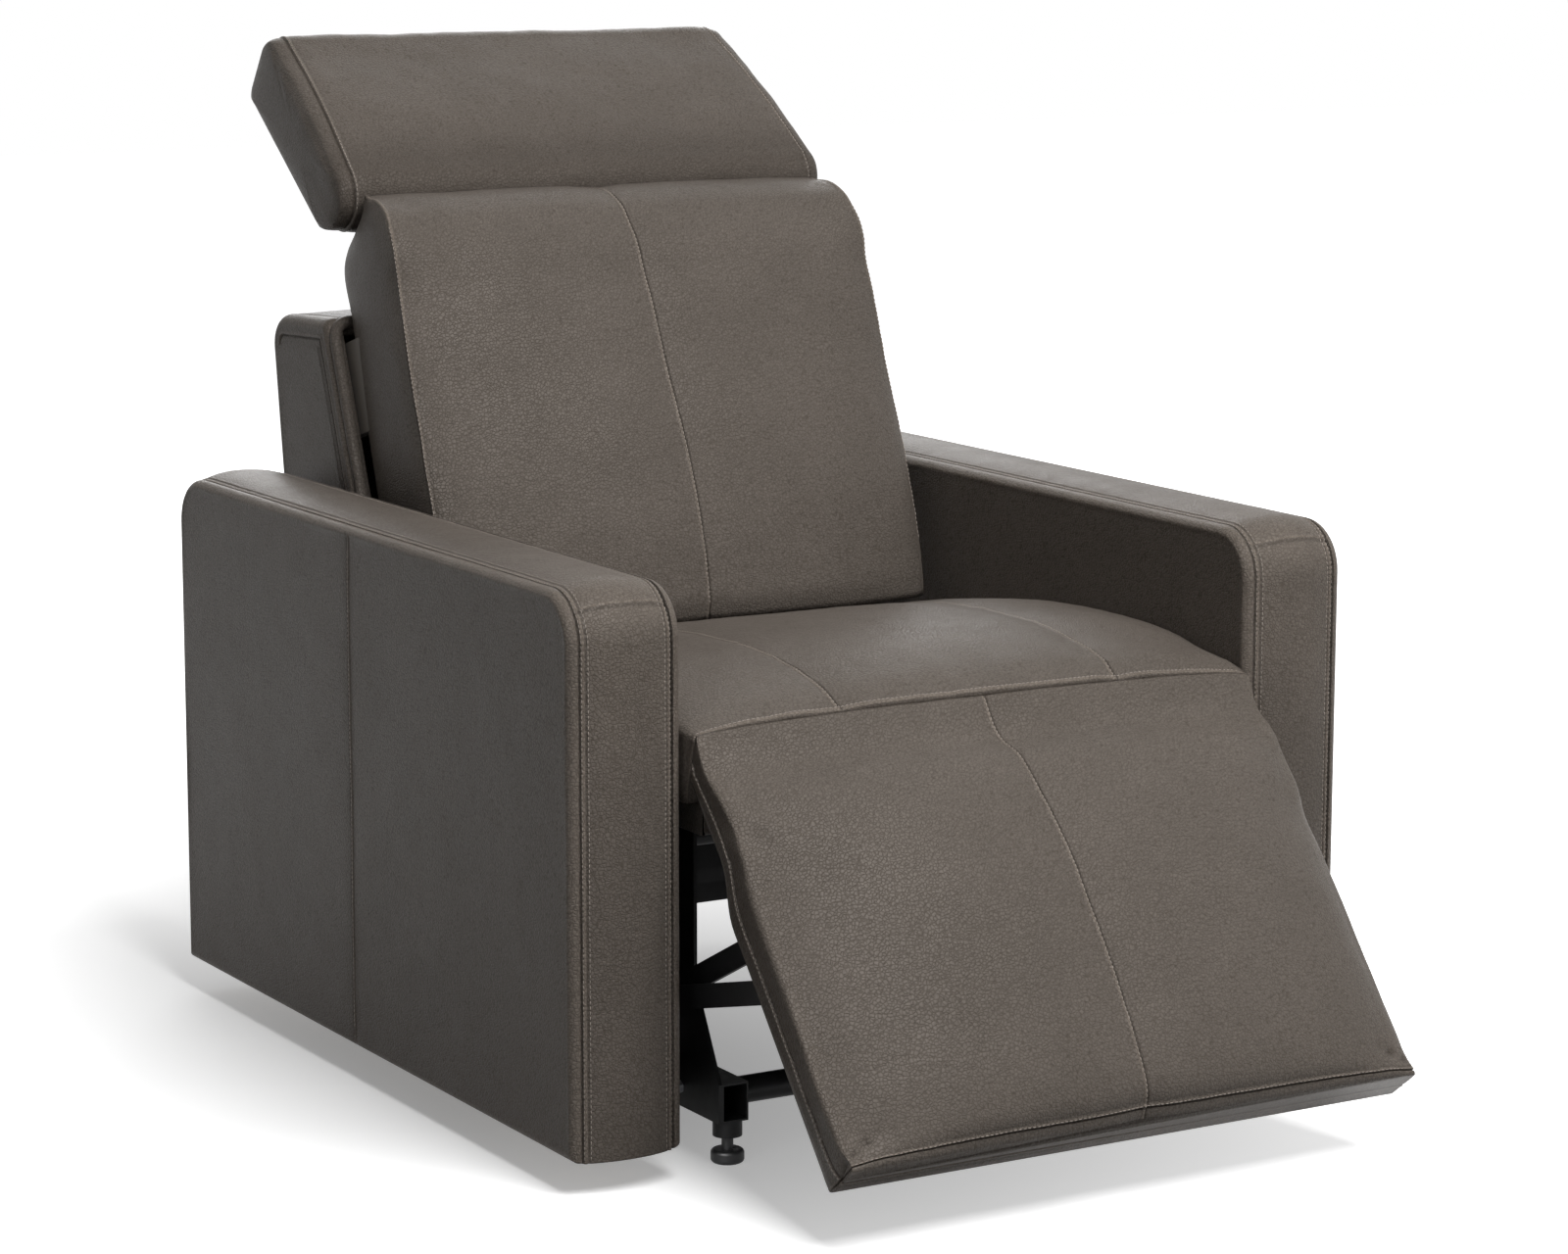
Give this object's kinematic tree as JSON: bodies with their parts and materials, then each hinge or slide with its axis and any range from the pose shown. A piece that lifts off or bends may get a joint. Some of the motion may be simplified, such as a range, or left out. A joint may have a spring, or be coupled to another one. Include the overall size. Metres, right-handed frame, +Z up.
{
  "type": "cinema recliner seat",
  "caption": "Leather home cinema recliner with box arms, a continuous chaise legrest on a steel link mechanism, a reclining back and a tilting headrest.",
  "frame": {"origin": "on the floor, under the middle of the chair's width and of its length from the legrest's tip to the headrest's top", "axes": "+X is the sitter's left, +Y points to the rear and +Z is up"},
  "size_m": [0.92, 1.4273, 1.0812],
  "materials": {
    "leather": "satin",
    "black_steel": "satin",
    "bolt_steel": "satin",
    "timber": "matte",
    "webbing": "matte",
    "black_plastic": "matte",
    "button_metal": "satin"
  },
  "bodies": {
    "base": {"arm_frame_right": "timber", "arm_frame_left": "timber", "arm_outer_panel_right": "leather", "arm_outer_panel_left": "leather", "arm_inner_panel_right": "leather", "arm_inner_panel_left": "leather", "arm_front_pad_right": "leather", "arm_front_pad_left": "leather", "arm_top_pad_right": "leather", "arm_top_pad_left": "leather", "arm_rear_pad_right": "leather", "arm_rear_pad_left": "leather", "base_rails": "black_steel", "frame_bolts": "bolt_steel", "front_cross_tube": "black_steel", "rear_cross_bar": "black_steel", "foot_sockets": "black_steel", "side_plates": "black_steel", "arm_brackets": "black_steel", "motor_cross_bar": "black_steel", "actuator_cross_bar": "black_steel", "legrest_gear_motor": "black_plastic", "seat_side_rails": "timber", "seat_cross_rails": "timber", "seat_webbing": "webbing", "seat_cushion": "leather", "chaise_pad": "leather", "back_actuator_body": "black_plastic", "control_panel": "black_plastic", "control_box": "black_plastic", "power_inlet": "black_plastic"},
    "glide_front_right": {"glide_front_right": "black_plastic"},
    "glide_front_left": {"glide_front_left": "black_plastic"},
    "glide_rear_right": {"glide_rear_right": "black_plastic"},
    "glide_rear_left": {"glide_rear_left": "black_plastic"},
    "legrest": {"legrest_board": "timber", "legrest_cushion": "leather", "legrest_brackets": "black_steel"},
    "front_crank": {"torque_tube": "black_steel", "front_cranks": "black_steel"},
    "front_push": {"front_push_links": "black_steel"},
    "rear_crank": {"rear_cranks": "black_steel"},
    "rear_push": {"rear_push_links": "black_steel"},
    "back": {"back_pivot_shaft": "black_steel", "back_hinge_brackets": "black_steel", "back_board": "timber", "back_cushion": "leather", "shell_side_right": "leather", "shell_side_left": "leather", "shell_top_panel": "leather", "shell_rear_panel": "leather", "headrest_hinge_mounts": "black_steel"},
    "headrest": {"headrest_hinge_arms": "black_steel", "headrest_board": "timber", "headrest_cushion": "leather"},
    "actuator_rod": {"back_actuator_rod": "bolt_steel"},
    "button_legrest_out": {"button_legrest_out": "button_metal"},
    "button_legrest_in": {"button_legrest_in": "button_metal"},
    "button_back_down": {"button_back_down": "button_metal"},
    "button_back_up": {"button_back_up": "button_metal"}
  },
  "joints": [
    {"name": "legrest_lift", "type": "hinge", "parent": "base", "child": "legrest", "pos_m": [0, -0.51356, 0.439], "axis": [-1, 0, 0], "range_deg": [-40, 57], "deforming": ["chaise_pad"]},
    {"name": "front_crank_turn", "type": "hinge", "parent": "base", "child": "front_crank", "pos_m": [0, -0.27956, 0.322], "axis": [-1, 0, 0], "range_deg": [-40, 57]},
    {"name": "front_link_turn", "type": "hinge", "parent": "front_crank", "child": "front_push", "pos_m": [0, -0.23062, 0.1344], "axis": [-1, 0, 0], "range_deg": [-57, 40]},
    {"name": "rear_crank_turn", "type": "hinge", "parent": "base", "child": "rear_crank", "pos_m": [0, -0.05956, 0.322], "axis": [-1, 0, 0], "range_deg": [-40, 57]},
    {"name": "rear_link_turn", "type": "hinge", "parent": "rear_crank", "child": "rear_push", "pos_m": [0, -0.04276, 0.0961], "axis": [-1, 0, 0], "range_deg": [-57, 40]},
    {"name": "back_recline", "type": "hinge", "parent": "base", "child": "back", "pos_m": [0, 0.31544, 0.29], "axis": [-1, 0, 0], "range_deg": [0, 32]},
    {"name": "back_rod_slide", "type": "slide", "parent": "base", "child": "actuator_rod", "axis": [0, -1, 0], "range_m": [0, 0.0335]},
    {"name": "headrest_tilt", "type": "hinge", "parent": "back", "child": "headrest", "pos_m": [0, 0.46844, 0.912], "axis": [1, 0, 0], "range_deg": [-15, 60]},
    {"name": "glide_front_right_height", "type": "slide", "parent": "base", "child": "glide_front_right", "axis": [0, 0, -1], "range_m": [0, 0.01]},
    {"name": "glide_front_left_height", "type": "slide", "parent": "base", "child": "glide_front_left", "axis": [0, 0, -1], "range_m": [0, 0.01]},
    {"name": "glide_rear_right_height", "type": "slide", "parent": "base", "child": "glide_rear_right", "axis": [0, 0, -1], "range_m": [0, 0.01]},
    {"name": "glide_rear_left_height", "type": "slide", "parent": "base", "child": "glide_rear_left", "axis": [0, 0, -1], "range_m": [0, 0.01]},
    {"name": "press_legrest_out", "type": "slide", "parent": "base", "child": "button_legrest_out", "axis": [-1, 0, 0], "range_m": [0, 0.0015], "stiffness_N_per_m": 600, "springref_m": -0.001},
    {"name": "press_legrest_in", "type": "slide", "parent": "base", "child": "button_legrest_in", "axis": [-1, 0, 0], "range_m": [0, 0.0015], "stiffness_N_per_m": 600, "springref_m": -0.001},
    {"name": "press_back_down", "type": "slide", "parent": "base", "child": "button_back_down", "axis": [-1, 0, 0], "range_m": [0, 0.0015], "stiffness_N_per_m": 600, "springref_m": -0.001},
    {"name": "press_back_up", "type": "slide", "parent": "base", "child": "button_back_up", "axis": [-1, 0, 0], "range_m": [0, 0.0015], "stiffness_N_per_m": 600, "springref_m": -0.001}
  ],
  "couplings": [
    {"joint": "front_crank_turn", "follows": "legrest_lift", "ratio": 1},
    {"joint": "front_link_turn", "follows": "legrest_lift", "ratio": -1},
    {"joint": "rear_crank_turn", "follows": "legrest_lift", "ratio": 1},
    {"joint": "rear_link_turn", "follows": "legrest_lift", "ratio": -1},
    {"joint": "back_rod_slide", "follows": "back_recline", "m_per_rad": 0.059222}
  ]
}
